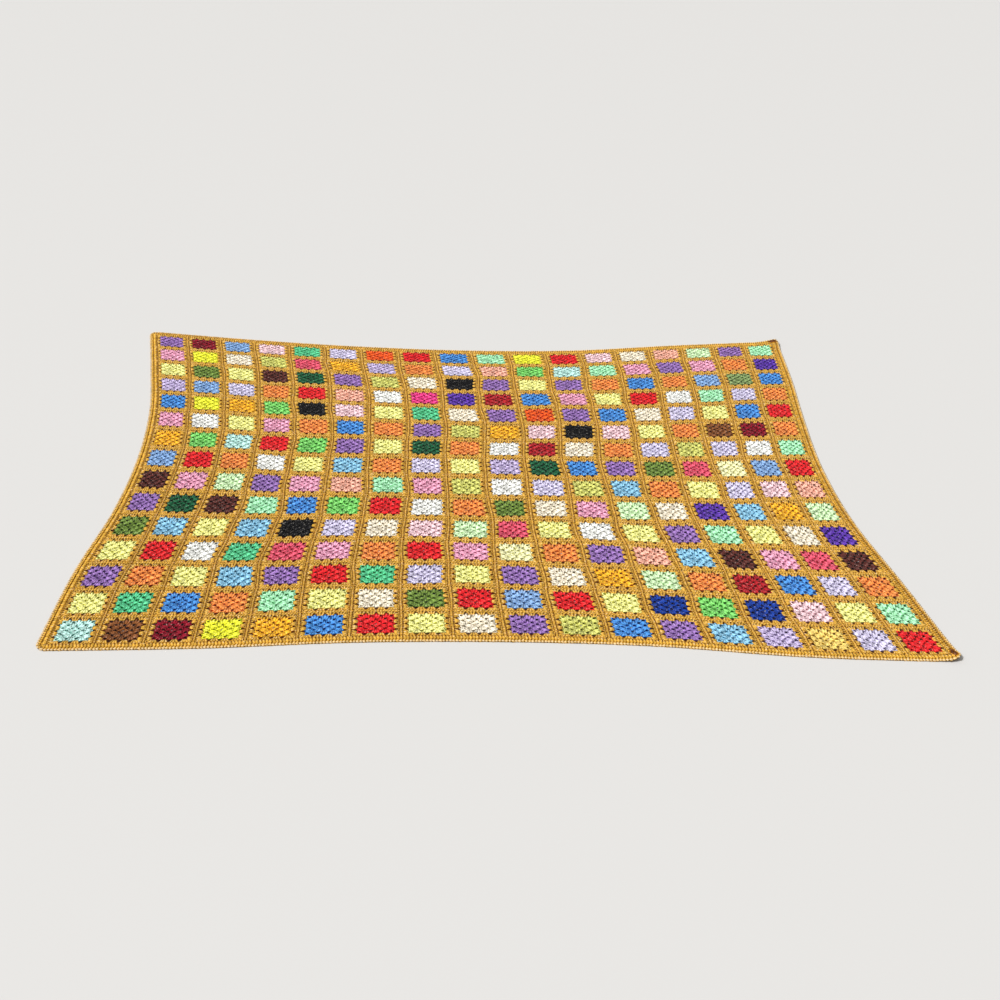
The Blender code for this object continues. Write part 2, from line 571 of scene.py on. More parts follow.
def cloth_object(name, columns, rows, margin, place):
    """A hidden surface of columns by rows of cells, with its flat shares as a map called flat.
    Stitches are laid on it."""
    bm = bmesh.new()
    flat = bm.loops.layers.uv.new("flat")
    shares, grid = {}, []
    for j in range(-margin, rows + margin + 1):
        line = []
        for i in range(-margin, columns + margin + 1):
            vert = bm.verts.new(place(i / columns, j / rows))
            shares[vert] = (i / columns, j / rows)
            line.append(vert)
        grid.append(line)
    for low, high in zip(grid, grid[1:]):
        for a, b, c, d in zip(low, low[1:], high[1:], high):
            for loop in bm.faces.new((a, b, c, d)).loops:
                loop[flat].uv = shares[loop.vert]
    mesh = bpy.data.meshes.new(name)
    bm.to_mesh(mesh)
    bm.free()
    return bpy.data.objects.new(name, mesh)


def smooth_stray(spot):
    """Two unrelated numbers from -1 to 1 that change smoothly from place to place. noise_vector
    isn't used, because it differs from run to run."""
    return Vector((noise.noise(spot), noise.noise(spot + SECOND_NOISE)))


def field_cloth(sizes):
    """The surface under the squares: drawn in, a little uneven between its sides, and swelling
    slightly off the floor."""
    seed = Vector((sizes.seed * NOISE_SEEDS_APART, 0, 0))

    def place(across, deep):
        inside = [min(max(share, 0.0), 1.0) for share in (across, deep)]
        fade = min(1.0, SIDES_STAY * min(min(share, 1 - share) for share in inside))
        spot = Vector((across * FIELD_SIZE.x, deep * FIELD_SIZE.y, 0)) / (STRAY_SPAN * SQUARE) + seed
        plan = field_point(squeezed(across), squeezed(deep))
        waves = smooth_stray(spot) + smooth_stray(spot * FINE_STRAY["scale"]) * FINE_STRAY["share"]
        stray = waves * sizes.square_shift * STRAY_DOUBLED
        swell = (SWELL_LEVEL + noise.noise(spot * SWELL_SCALE + SWELL_NOISE)) * sizes.swell
        place_on_floor = plan + fade * stray
        return Vector((*(place_on_floor - CENTRE), max(0.0, fade * swell) + lift(plan)))

    columns, rows = SQUARES_ACROSS * CLOTH_CELLS, SQUARES_DEEP * CLOTH_CELLS
    return cloth_object("field_cloth", columns, rows, CLOTH_MARGIN, place)


def edging_course():
    """The edging's course at the middle of its width: distances along it, points and outward
    directions, one full round."""
    path = OUTLINE + OUTLINE[:1]
    points = np.array([point for point, _ in path])
    outward = np.array([direction for _, direction in path])
    middle = points + outward * EDGING_WIDTH / 2
    steps = np.linalg.norm(np.diff(middle, axis=0), axis=1)
    return np.concatenate([[0.0], np.cumsum(steps)]), points, outward


def edging_cloth():
    """The surface under the edging, and its length. Its shares run along it and out across it."""
    distances, points, outward = edging_course()
    length = distances[-1]

    def place(along, out):
        at = along % 1.0 * length
        point, way = (
            Vector(np.interp(at, distances, values[:, axis]) for axis in (0, 1))
            for values in (points, outward)
        )
        spot = point + way * out * EDGING_WIDTH
        return Vector((*(spot - CENTRE), lift(spot)))

    columns = round(length / EDGING_CELL)
    return cloth_object("edging_cloth", columns, EDGING_CELLS, EDGING_MARGIN, place), length


# ---------------------------------------------------------------- one stitch of each kind


def closed_mesh(name, bm):
    """A hidden object from a closed stitch. It keeps how far along and beside its middle each
    point is, besides how bare it is, which sets its painted shade and painted highlight."""
    bmesh.ops.recalc_face_normals(bm, faces=bm.faces)
    mesh = bpy.data.meshes.new(name)
    bm.to_mesh(mesh)
    bm.free()
    for label, axis in (("along", 1), ("beside", 0)):
        attribute = mesh.attributes.new(label, "FLOAT", "POINT")
        attribute.data.foreach_set("value", [vert.co[axis] for vert in mesh.vertices])
    return bpy.data.objects.new(name, mesh)


def post_stitch(name, sections):
    """An upright stitch lying along +Y, a unit long, wide and high: three-sided and flat below."""
    bm = bmesh.new()
    bare = bm.verts.layers.float.new("bare")
    rings = []
    for section in sections:
        half = 0.5 * section["wide"]
        left = bm.verts.new((-half, section["along"], STITCH_EDGE))
        right = bm.verts.new((half, section["along"], STITCH_EDGE))
        back = bm.verts.new((0.0, section["along"], section["high"]))
        back[bare] = section["bare"]
        left[bare] = right[bare] = section["edge"]
        rings.append((left, right, back))
    for lower, upper in zip(rings, rings[1:]):
        for i in range(3):
            j = (i + 1) % 3
            bm.faces.new((lower[i], lower[j], upper[j], upper[i]))
    bm.faces.new(rings[0])
    bm.faces.new(rings[-1])
    return closed_mesh(name, bm)


def chain_stitch(name, kind):
    """One loop of a chain lying along +Y: a unit long, wide and high, and pointed both ways."""
    ends_bare, sides_bare = CHAIN_BARE[kind]
    bm = bmesh.new()
    bare = bm.verts.layers.float.new("bare")
    bmesh.ops.create_uvsphere(bm, u_segments=4, v_segments=2, radius=0.5)
    for vert in bm.verts:
        x, y, z = vert.co
        level = round(2 * z)
        vert.co = (x, y, {-1: 0.0, 0: CHAIN_WAIST, 1: 1.0}[level])
        vert[bare] = {-1: 0.0, 0: ends_bare if abs(y) > abs(x) else sides_bare, 1: 1.0}[level]
    return closed_mesh(name, bm)


# ---------------------------------------------------------------- charts of the stitches


def post(foot, top, width, height, low=0.0):
    """One upright stitch of a chart, from its foot to its top."""
    way = top - foot
    return {"place": (*foot, low), "turn": math.atan2(-way.x, way.y), "size": (width, way.length, height)}


def chain(middle, way, length, width, height, low, slant=0.0):
    """One chain stitch of a chart, lying along way and turned a little across it."""
    turn = math.atan2(-way.x, way.y) + slant
    return {"place": (*middle, low), "turn": turn, "size": (width, length, height)}


def quarter_turned(side, across, out):
    """A point across and out from a square's middle, on one of its four sides."""
    return Matrix.Rotation(side * math.pi / 2, 2) @ Vector((across, out))


def top_spacing(sizes, round_number):
    """Between the tops of neighbouring stitches of a round. They are evenly spread."""
    top, space = sizes.round_tops[round_number - 1], sizes.corner_spaces[round_number - 1]
    return 2 * (top - space) / (3 * round_number)


def round_crown(sizes, round_number):
    """The crown of a round's clusters. The mustard round's top is straight."""
    return 0.0 if round_number == 4 else sizes.cluster_crown


def between_feet(sizes, round_number):
    """Between the feet of neighbouring stitches of a cluster."""
    return sizes.mustard_foot_spacing if round_number == 4 else sizes.foot_spacing


def cluster_middle(sizes, round_number, cluster):
    """Where a cluster of three stands along its side, at its top."""
    return 3 * top_spacing(sizes, round_number) * (cluster - (round_number - 1) / 2)


def cluster_foot(sizes, round_number, cluster, stitch):
    """Where one stitch of a cluster starts: in the space between two clusters of the round
    inside it, in that round's corner space, or in the centre ring."""
    if round_number == 1:
        angle = stitch * FIRST_ROUND_FAN
        return Vector((math.sin(angle), math.cos(angle))) * sizes.centre_ring
    inside = sizes.round_tops[round_number - 2]
    if 0 < cluster < round_number - 1:
        sides = [cluster_middle(sizes, round_number - 1, i) for i in (cluster - 1, cluster)]
        across = sum(sides) / 2 + stitch * between_feet(sizes, round_number)
        return Vector((across, inside - FOOT_TUCK))
    corner = 1 if cluster else -1
    space = corner * (inside - sizes.corner_spaces[round_number - 2])
    across = space + stitch * between_feet(sizes, round_number) * CORNER_FEET
    return Vector((across, inside - CORNER_FOOT_TUCK))


def round_posts(sizes, round_number, width, height):
    """The upright stitches of one round: as many clusters of three on each side as its number."""
    top = sizes.round_tops[round_number - 1]
    crown = round_crown(sizes, round_number)
    spacing = top_spacing(sizes, round_number)
    stitches = []
    for side in range(4):
        for cluster in range(round_number):
            middle = cluster_middle(sizes, round_number, cluster)
            for stitch in (-1, 0, 1):
                foot = cluster_foot(sizes, round_number, cluster, stitch)
                ends = (foot.x, foot.y), (middle + stitch * spacing, top - abs(stitch) * crown)
                ends = [quarter_turned(side, *end) for end in ends]
                stitches.append(post(*ends, width, height, sizes.stitch_low))
    return stitches


def corner_posts(sizes):
    """One stitch out to each corner of the mustard round, which closes the corner."""
    inside = sizes.round_tops[2] - CORNER_STITCH_FOOT * sizes.corner_spaces[2]
    outside = sizes.round_tops[3] - CORNER_TIP * sizes.corner_spaces[3]
    ends = Vector((inside, inside)), Vector((outside, outside))
    return [
        post(*(quarter_turned(side, *end) for end in ends), sizes.stitch_width, sizes.stitch_height)
        for side in range(4)
    ]


def hole_places(sizes):
    """The holes of one eighth of a square, as distances out from its middle and along its side:
    in the corner spaces, and between the clusters of each round."""
    holes = []
    for number in (1, 2, 3):
        corner = sizes.round_tops[number - 1] - sizes.corner_spaces[number - 1]
        holes.append((corner, corner))
    for number in (2, 3, 4):
        inside, top = sizes.round_tops[number - 2], sizes.round_tops[number - 1]
        between = 0 if number % 2 == 0 else 0.5
        while between < (number - 1) / 2:
            along = between * 3 * top_spacing(sizes, number)
            holes.append((inside + HOLE_OUT * (top - inside), along))
            between += 1
    return holes


def round_webs(sizes, round_number):
    """The webs of one round: a strip along each side, from the round inside it to its own top,
    which meets the next side's end on."""
    inside, outside = sizes.round_tops[round_number - 2] - WEB_TUCK, sizes.round_tops[round_number - 1]
    middle, width = (inside + outside) / 2, outside - inside
    return [
        post(
            quarter_turned(side, -outside, middle),
            quarter_turned(side, inside, middle),
            width,
            sizes.web_height,
        )
        for side in range(4)
    ]


def round_chains(sizes, round_number):
    """The chain along the top of one round, with two loops round each corner."""
    top = sizes.round_tops[round_number - 1]
    crown = round_crown(sizes, round_number)
    spacing = top_spacing(sizes, round_number)
    last = cluster_middle(sizes, round_number, round_number - 1) + spacing
    loop_size = sizes.chain_width, sizes.chain_height, sizes.stitch_low + sizes.stitch_height * CHAIN_START
    loops = []
    for side in range(4):
        along = quarter_turned(side, 1, 0)
        for cluster in range(round_number):
            middle = cluster_middle(sizes, round_number, cluster)
            for stitch in (-1, 0, 1):
                spot = quarter_turned(side, middle + stitch * spacing, top - abs(stitch) * crown)
                loops.append(chain(spot, along, spacing * CHAIN_OVERLAP, *loop_size, CHAIN_SLANT))
        tip = top - CORNER_TIP * sizes.corner_spaces[round_number - 1]
        turn = [quarter_turned(side, *spot) for spot in ((last, top - crown), (tip, tip))]
        turn.append(quarter_turned(side, top - crown, last))
        for start, end in zip(turn, turn[1:]):
            way = end - start
            loops.append(chain((start + end) / 2, way, way.length * CHAIN_OVERLAP, *loop_size))
    return loops


def centre_chains(sizes):
    """The ring of loops in the middle of a square."""
    ring, radius = CENTRE_LOOPS, sizes.centre_ring
    loops = []
    for i in range(ring["count"]):
        angle = i * math.tau / ring["count"]
        out = Vector((math.sin(angle), math.cos(angle)))
        around = Vector((out.y, -out.x))
        middle = out * radius * ring["out"]
        loops.append(chain(middle, around, radius * ring["long"], ring["wide"], ring["high"], ring["low"]))
    return loops


def seam_lines():
    """Every stretch of seam between two squares: its start, its direction, and its ridge's share
    of the full height."""
    for lines, squares, along, high in (
        (SQUARES_ACROSS, SQUARES_DEEP, Vector((0, 1)), SEAM_HEIGHTS["along_y"]),
        (SQUARES_DEEP, SQUARES_ACROSS, Vector((1, 0)), SEAM_HEIGHTS["along_x"]),
    ):
        across = Vector((along.y, along.x))
        for line in range(1, lines):
            for square in range(squares):
                yield (across * line + along * square) * SQUARE, along, high


def seam_beds(sizes):
    """The webs below the seams, which the two squares' edges rest on, in painted deep shade like
    the other webs.
    """
    width = 2 * (SQUARE / 2 - sizes.round_tops[3]) + sizes.chain_width
    return [post(start, start + along * SQUARE, width, sizes.web_height) for start, along, _ in seam_lines()]


def seam_chains(sizes):
    """The ridges of all the seams: two strands side by side, whose stitches lean towards each
    other, and a knot wherever four squares meet. The seams along Y were worked last, over the
    others, and stand higher."""
    pitch = SQUARE / sizes.seam_stitches
    width = sizes.seam_strand_width
    stitches = []
    for start, along, high in seam_lines():
        across = Vector((along.y, along.x))
        lean = SEAM_LEAN if along.y else -SEAM_LEAN
        ridge = sizes.seam_height * high
        for i in range(sizes.seam_stitches):
            middle = start + along * (i + 0.5) * pitch
            for strand in (-1, 1):
                spot = middle + across * strand * width * SEAM_STRAND_ASIDE
                stitches.append(chain(spot, along, pitch * SEAM_OVERLAP, width, ridge, 0.0, strand * lean))
    high = sizes.seam_height * KNOT["high"]
    for column in range(SQUARES_ACROSS + 1):
        for row in range(SQUARES_DEEP + 1):
            corner = Vector((column, row)) * SQUARE
            stitches.append(chain(corner, Vector((0, 1)), KNOT["long"], KNOT["wide"], high, 0.0))
    return stitches


# The edging from the squares outwards: its rounds of short stitches, and the chain that is its
# rim. Places are shares of the edging's width, the rim's length is a share of the pitch, and the
# rest are sizes and a slant in degrees. A short stitch is wider than the pitch by the overlap, so
# that neighbours touch.
RIB_ROUNDS = [
    {"from": -0.16, "to": 0.48, "high": 0.0036, "lean": 0.0034},
    {"from": 0.49, "to": 0.80, "high": 0.0036, "lean": 0.0017},
]
RIM_ROUNDS = [{"from": 0.40, "to": 0.96, "high": 0.0020, "lean": 0.0020}]
EDGING_RIM = {"at": 0.865, "wide": 0.0056, "high": 0.0042, "long": 1.6, "slant": 30}
RIB_OVERLAP = 1.3


def edging_posts(sizes, rows):
    """The short stitches of one rib of the edging."""
    return [
        post(
            Vector((0, row["from"] * EDGING_WIDTH)),
            Vector((row["lean"], row["to"] * EDGING_WIDTH)),
            sizes.rib_pitch * RIB_OVERLAP,
            row["high"],
        )
        for row in rows
    ]


def edging_chain(sizes, row):
    """The chain stitch of one rib of the edging's rim."""
    place = Vector((0, row["at"] * EDGING_WIDTH))
    length = sizes.rib_pitch * row["long"]
    return [chain(place, Vector((1, 0)), length, row["wide"], row["high"], 0.0, math.radians(row["slant"]))]


def chart_object(name, stitches):
    """A hidden object with a vertex for each stitch of a chart."""
    mesh = bpy.data.meshes.new(name)
    mesh.from_pydata([s["place"] for s in stitches], [], [])
    turn = mesh.attributes.new("turn", "FLOAT", "POINT")
    turn.data.foreach_set("value", [s["turn"] for s in stitches])
    size = mesh.attributes.new("size", "FLOAT_VECTOR", "POINT")
    size.data.foreach_set("vector", [x for s in stitches for x in s["size"]])
    return bpy.data.objects.new(name, mesh)


# ---------------------------------------------------------------- the order of the colours


def like_neighbours(order, place):
    """How much the squares next to a place are like it: 3 for the same yarn beside it, 2 for the
    same yarn across a corner, and 1 for a yarn of the same kind beside it."""
    column, row = place % SQUARES_ACROSS, place // SQUARES_ACROSS
    yarn, likeness = order[place], 0
    for right in (-1, 0, 1):
        for up in (-1, 0, 1):
            x, y = column + right, row + up
            if (right or up) and 0 <= x < SQUARES_ACROSS and 0 <= y < SQUARES_DEEP:
                other = order[y * SQUARES_ACROSS + x]
                beside = not (right and up)
                if other is yarn:
                    likeness += 3 if beside else 2
                elif beside and other["piece"] == yarn["piece"]:
                    likeness += 1
    return likeness


def scattered_yarns():
    """A yarn for each square, from the near left corner row by row: a shuffle in which squares
    are then swapped as long as that parts like ones."""
    order = [yarn for yarn in YARNS for _ in range(yarn["squares"])]
    if len(order) != SQUARES_ACROSS * SQUARES_DEEP:
        raise RuntimeError(f"the yarns cover {len(order)} squares")
    pick = random.Random(SCATTER_SEED)
    pick.shuffle(order)
    for _ in range(SCATTER_SWAPS):
        a, b = pick.sample(range(len(order)), 2)
        before = like_neighbours(order, a) + like_neighbours(order, b)
        order[a], order[b] = order[b], order[a]
        if like_neighbours(order, a) + like_neighbours(order, b) > before:
            order[a], order[b] = order[b], order[a]
    return order


def layout_object(name, spots):
    """A hidden object with a vertex for each square or rib, with its yarn and its shift from the
    flat chart to the piece's own colour map."""
    mesh = bpy.data.meshes.new(name)
    mesh.from_pydata([(*s["place"], 0.0) for s in spots], [], [])
    colour = mesh.attributes.new("yarn_colour", "FLOAT_COLOR", "POINT")
    colour.data.foreach_set("color", [x for s in spots for x in (*s["colour"], 1.0)])
    shift = mesh.attributes.new("map_shift", "FLOAT_VECTOR", "POINT")
    shift.data.foreach_set("vector", [x for s in spots for x in (*s["shift"], 0.0)])
    return bpy.data.objects.new(name, mesh)


def square_middle(index):
    """The middle of a square on the flat chart."""
    return Vector((index % SQUARES_ACROSS + 0.5, index // SQUARES_ACROSS + 0.5)) * SQUARE


# ---------------------------------------------------------------- Geometry Nodes


def add(tree, kind, inputs=None, **settings):
    """Adds a node, with its settings, and fills its inputs from sockets or plain values."""
    node = tree.nodes.new(kind)
    for name, value in settings.items():
        setattr(node, name, value)
    for key, value in (inputs or {}).items():
        socket = node.inputs[key]
        if isinstance(value, bpy.types.NodeSocket):
            tree.links.new(value, socket)
        else:
            socket.default_value = value
    return node


def new_tree(name, kind, inputs, outputs):
    """A node group with named sockets. Returns it with its input and output nodes."""
    tree = bpy.data.node_groups.new(name, kind)
    for way, sockets in (("INPUT", inputs), ("OUTPUT", outputs)):
        for label, (socket_type, default) in sockets.items():
            socket = tree.interface.new_socket(label, in_out=way, socket_type=socket_type)
            if default is not None:
                socket.default_value = default
    return tree, tree.nodes.new("NodeGroupInput"), tree.nodes.new("NodeGroupOutput")


def named(tree, name, data_type):
    """The socket of a stored attribute."""
    return add(tree, "GeometryNodeInputNamedAttribute", {"Name": name}, data_type=data_type).outputs[0]


def random_number(tree, low, high, seed):
    """A random number for each stitch, as a socket."""
    # Inputs 2 and 3 are the limits of a plain number, and output 1 is that number
    node = add(tree, "FunctionNodeRandomValue", {2: low, 3: high, "Seed": seed}, data_type="FLOAT")
    return node.outputs[1]


def node_maths(tree, operation, *values):
    """The result of a Math node on sockets or plain numbers."""
    return add(tree, "ShaderNodeMath", dict(enumerate(values)), operation=operation).outputs[0]


def node_vectors(tree, operation, *values):
    """The result of a Vector Math node on sockets or plain vectors."""
    return add(tree, "ShaderNodeVectorMath", dict(enumerate(values)), operation=operation).outputs[0]


def scaled(tree, vector, scale):
    """A vector or colour times a number, as a socket."""
    return add(tree, "ShaderNodeVectorMath", {0: vector, "Scale": scale}, operation="SCALE").outputs[0]


def ranged(tree, value, start, end, low=0.0, high=1.0, way="SMOOTHSTEP"):
    """A number between start and end, put between low and high, as a socket."""
    limits = {"From Min": start, "From Max": end, "To Min": low, "To Max": high}
    return add(tree, "ShaderNodeMapRange", {"Value": value, **limits}, interpolation_type=way).outputs[0]


def stored(tree, geometry, name, value, data_type, domain):
    """Geometry that keeps a value as a named attribute, as a socket."""
    inputs = {"Geometry": geometry, "Name": name, "Value": value}
    kept = add(tree, "GeometryNodeStoreNamedAttribute", inputs, data_type=data_type, domain=domain)
    return kept.outputs[0]


def noise_field(tree, place, scale, detail, **settings):
    """A noise texture read at a place. Its outputs are Fac and Color."""
    return add(tree, "ShaderNodeTexNoise", {"Vector": place, "Scale": scale, "Detail": detail, **settings})


# What is added to the seed for each random number of a stitch, and for each kind of stitch
STRETCH_SEEDS = {"X": 1.0, "Y": 2.0, "Z": 3.0}
SHADE_SEED = 9.0
KIND_SEEDS = {"Web": 40.0, "Chain": 20.0, "Post": 0.0}

# A face whose normal points lower than this is an underside
FACING_DOWN = -0.001


def work_stitches_tree():
    """Node group: one kind of stitch, set at each place of a chart, and the chart at each square
    or rib."""
    tree, start, end = new_tree(
        "Work Stitches",
        "GeometryNodeTree",
        {
            "Places": ("NodeSocketGeometry", None),
            "Chart": ("NodeSocketObject", None),
            "Stitch": ("NodeSocketObject", None),
            "Unevenness": ("NodeSocketFloat", 0.1),
            "Turn Unevenness": ("NodeSocketFloat", 0.1),
            "Seed": ("NodeSocketInt", 0),
        },
        {"Stitches": ("NodeSocketGeometry", None)},
    )
    inputs = start.outputs
    chart = add(tree, "GeometryNodeObjectInfo", {"Object": inputs["Chart"]})
    stitch = add(tree, "GeometryNodeObjectInfo", {"Object": inputs["Stitch"]})
    charts = add(
        tree,
        "GeometryNodeInstanceOnPoints",
        {"Points": inputs["Places"], "Instance": chart.outputs["Geometry"]},
    )
    places = add(tree, "GeometryNodeRealizeInstances", {"Geometry": charts.outputs[0]})

    maths = partial(node_maths, tree)
    seed = inputs["Seed"]
    most_turned = inputs["Turn Unevenness"]
    least_turned = maths("MULTIPLY", most_turned, -1.0)
    turned = random_number(tree, least_turned, most_turned, seed)
    turn = maths("ADD", named(tree, "turn", "FLOAT"), turned)
    rotation = add(tree, "ShaderNodeCombineXYZ", {"Z": turn}).outputs[0]

    least = maths("SUBTRACT", 1.0, inputs["Unevenness"])
    most = maths("ADD", inputs["Unevenness"], 1.0)
    ways = {
        axis: random_number(tree, least, most, maths("ADD", seed, offset))
        for axis, offset in STRETCH_SEEDS.items()
    }
    stretch = add(tree, "ShaderNodeCombineXYZ", ways).outputs[0]
    scale = node_vectors(tree, "MULTIPLY", named(tree, "size", "FLOAT_VECTOR"), stretch)
    stitches = add(
        tree,
        "GeometryNodeInstanceOnPoints",
        {
            "Points": places.outputs[0],
            "Instance": stitch.outputs["Geometry"],
            "Rotation": add(tree, "FunctionNodeEulerToRotation", {0: rotation}).outputs[0],
            "Scale": scale,
        },
    )
    shade = random_number(tree, 0.0, 1.0, maths("ADD", seed, SHADE_SEED))
    shaded = stored(tree, stitches.outputs[0], "stitch_shade", shade, "FLOAT", "INSTANCE")
    tree.links.new(shaded, end.inputs["Stitches"])
    return tree


def crochet_tree():
    """Node group: upright stitches and chains at their places on the flat chart, mapped for
    colour, and laid on the cloth."""
    tree, start, end = new_tree(
        "Crochet on Cloth",
        "GeometryNodeTree",
        {
            "Places": ("NodeSocketGeometry", None),
            "Post Chart": ("NodeSocketObject", None),
            "Post Stitch": ("NodeSocketObject", None),
            "Chain Chart": ("NodeSocketObject", None),
            "Chain Stitch": ("NodeSocketObject", None),
            "Web Chart": ("NodeSocketObject", None),
            "Web Stitch": ("NodeSocketObject", None),
            "Cloth": ("NodeSocketObject", None),
            "Cloth Size": ("NodeSocketVector", (1.0, 1.0, 1.0)),
            "Unevenness": ("NodeSocketFloat", 0.1),
            "Turn Unevenness": ("NodeSocketFloat", 0.1),
            "Seed": ("NodeSocketInt", 0),
            "Map Size": ("NodeSocketVector", (1.0, 1.0, 1.0)),
            "Underside Shift": ("NodeSocketVector", (0.0, 0.0, 0.0)),
            "Yarn": ("NodeSocketMaterial", None),
        },
        {"Crochet": ("NodeSocketGeometry", None)},
    )
    inputs = start.outputs
    maths, vectors = partial(node_maths, tree), partial(node_vectors, tree)
    kinds = add(tree, "GeometryNodeJoinGeometry")
    for kind, offset in KIND_SEEDS.items():
        worked = add(tree, "GeometryNodeGroup", node_tree=bpy.data.node_groups["Work Stitches"])
        links = {
            "Places": inputs["Places"],
            "Chart": inputs[f"{kind} Chart"],
            "Stitch": inputs[f"{kind} Stitch"],
            "Seed": maths("ADD", inputs["Seed"], offset),
        }
        for name in ("Unevenness", "Turn Unevenness"):
            # A web is one strip laid from end to end, so it stays true
            if kind == "Web":
                worked.inputs[name].default_value = 0.0
            else:
                links[name] = inputs[name]
        for name, socket in links.items():
            tree.links.new(socket, worked.inputs[name])
        tree.links.new(worked.outputs["Stitches"], kinds.inputs[0])
    flat = add(tree, "GeometryNodeRealizeInstances", {"Geometry": kinds.outputs[0]})

    position = add(tree, "GeometryNodeInputPosition").outputs[0]
    normal = add(tree, "GeometryNodeInputNormal").outputs[0]
    upward = add(tree, "ShaderNodeSeparateXYZ", {0: normal}).outputs["Z"]
    face_up = add(tree, "GeometryNodeFieldOnDomain", {0: upward}, data_type="FLOAT", domain="FACE").outputs[0]
    below = maths("LESS_THAN", face_up, FACING_DOWN)
    shifted = vectors("ADD", position, named(tree, "map_shift", "FLOAT_VECTOR"))
    both = vectors("ADD", shifted, scaled(tree, inputs["Underside Shift"], below))
    spot = vectors("DIVIDE", both, inputs["Map Size"])
    mapped = stored(tree, flat.outputs[0], "OFBake", spot, "FLOAT2", "CORNER")
    charted = stored(tree, mapped, "chart", position, "FLOAT_VECTOR", "POINT")

    cloth = add(tree, "GeometryNodeObjectInfo", {"Object": inputs["Cloth"]})
    surface = add(
        tree,
        "GeometryNodeSampleUVSurface",
        {
            "Mesh": cloth.outputs["Geometry"],
            "Value": position,
            "Source UV Map": named(tree, "flat", "FLOAT_VECTOR"),
            "Sample UV": vectors("DIVIDE", position, inputs["Cloth Size"]),
        },
        data_type="FLOAT_VECTOR",
    ).outputs["Value"]
    height = add(
        tree,
        "ShaderNodeCombineXYZ",
        {"Z": add(tree, "ShaderNodeSeparateXYZ", {0: position}).outputs["Z"]},
    ).outputs[0]
    on_cloth = vectors("ADD", surface, height)
    laid = add(tree, "GeometryNodeSetPosition", {"Geometry": charted, "Position": on_cloth})
    smooth = add(tree, "GeometryNodeSetShadeSmooth", {"Geometry": laid.outputs[0]})
    finished = add(
        tree, "GeometryNodeSetMaterial", {"Geometry": smooth.outputs[0], "Material": inputs["Yarn"]}
    )
    tree.links.new(finished.outputs[0], end.inputs["Crochet"])
    return tree


def crochet(name, layout, settings):
    """Works a piece with the crochet tree and makes the result a plain mesh."""
    tree = bpy.data.node_groups["Crochet on Cloth"]
    scene = bpy.context.scene.collection.objects
    helpers = [layout, *(value for value in settings.values() if isinstance(value, bpy.types.Object))]
    for helper in helpers:
        if helper.name not in scene:
            scene.link(helper)
    modifier = layout.modifiers.new("crochet", "NODES")
    modifier.node_group = tree
    sockets = {item.name: item.identifier for item in tree.interface.items_tree if item.in_out == "INPUT"}
    for label, value in settings.items():
        modifier[sockets[label]] = value
    bpy.context.view_layer.update()
    depsgraph = bpy.context.evaluated_depsgraph_get()
    mesh = bpy.data.meshes.new_from_object(layout.evaluated_get(depsgraph))
    layout.modifiers.clear()
    for spare in ("turn", "size", "map_shift"):
        if spare in mesh.attributes:
            mesh.attributes.remove(mesh.attributes[spare])
    mesh.name = name
    if not mesh.polygons:
        raise RuntimeError(f"{name} came out empty")
    piece = bpy.data.objects.new(name, mesh)
    scene.link(piece)
    for helper in helpers:
        scene.unlink(helper)
    bpy.data.objects.remove(layout)
    return piece


# ---------------------------------------------------------------- materials


# The colour of the painted highlight where loose fibres catch the light, in linear values
HIGHLIGHT_COLOUR = (0.90, 0.84, 0.72, 1.0)
# How much lighter the painted shade of deep places is in pale yarn than in dark, as more light
# bounces there, and how pale a yarn is that gets neither more nor less
PALE_GLOW = 1.5
USUAL_PALENESS = 1 / 3
# Noise scales, from the finest: single fibres, strands of them, and patches of faded dye with
# how much they differ in shade
FIBRE_SCALE = 900.0
STRAND_SCALE = 250.0
FADE_SCALE = 9.0
FADE_AMOUNT = 0.10
# How steeply the plies wind, how unevenly the painted highlight of the loose fibres spreads
# over them, and how high fibres stand
PLY_SLANT = 1.4
HIGHLIGHT_SPREAD = 1.2
FIBRE_DEPTH = 0.00016
# Roughness where fibres lie flat, and how much more it is where they stand up
ROUGHNESS = {"flat": 0.72, "more": 0.12}
BUMP_STRENGTH = 0.7
SPECULAR = 0.12
SHEEN = {"weight": 0.07, "roughness": 0.45}


def fading(tree, distance, full, none):
    """1 up to a distance of full, then smoothly down to 0 at none."""
    return ranged(tree, distance, full, none, 1.0, 0.0)


def edging_shade_mask(tree):
    """Where the painted shade of the edging's grooves and of the hollows of its curled tips lies, as
    a socket from 0 to its darkness."""
    maths = partial(node_maths, tree)
    chart = add(tree, "ShaderNodeAttribute", attribute_name="chart").outputs["Vector"]
    out = add(tree, "ShaderNodeSeparateXYZ", {0: chart}).outputs["Y"]
    place = add(tree, "ShaderNodeTexCoord").outputs["Object"]
    plan = add(tree, "ShaderNodeSeparateXYZ", {0: place})
    across, deep = (maths("ABSOLUTE", plan.outputs[axis]) for axis in "XY")
    on_sides = maths("GREATER_THAN", maths("MULTIPLY", across, FIELD_SIZE.y / FIELD_SIZE.x), deep)
    mask = 0.0
    for name, hollow in HOLLOWS.items():
        middle = corner_point(name) + Vector(hollow["from_corner"]) - CENTRE
        ways = {
            axis: maths("DIVIDE", maths("SUBTRACT", plan.outputs[axis], start), half)
            for axis, start, half in zip("XY", middle, hollow["half_size"])
        }
        spot = add(tree, "ShaderNodeCombineXYZ", ways).outputs[0]
        away = add(tree, "ShaderNodeVectorMath", {0: spot}, operation="LENGTH").outputs["Value"]
        mask = maths("MAXIMUM", mask, maths("MULTIPLY", fading(tree, away, *HOLLOW_FADE), HOLLOW_SHADE))
    for groove in EDGING_GROOVES:
        aside = maths("ABSOLUTE", maths("SUBTRACT", out, groove["out"]))
        depth = maths("MULTIPLY_ADD", on_sides, groove["sides"] - groove["ends"], groove["ends"])
        shown = maths("MULTIPLY", fading(tree, aside, 0.0, groove["wide"] / 2), depth)
        mask = maths("MAXIMUM", mask, shown)
    return mask


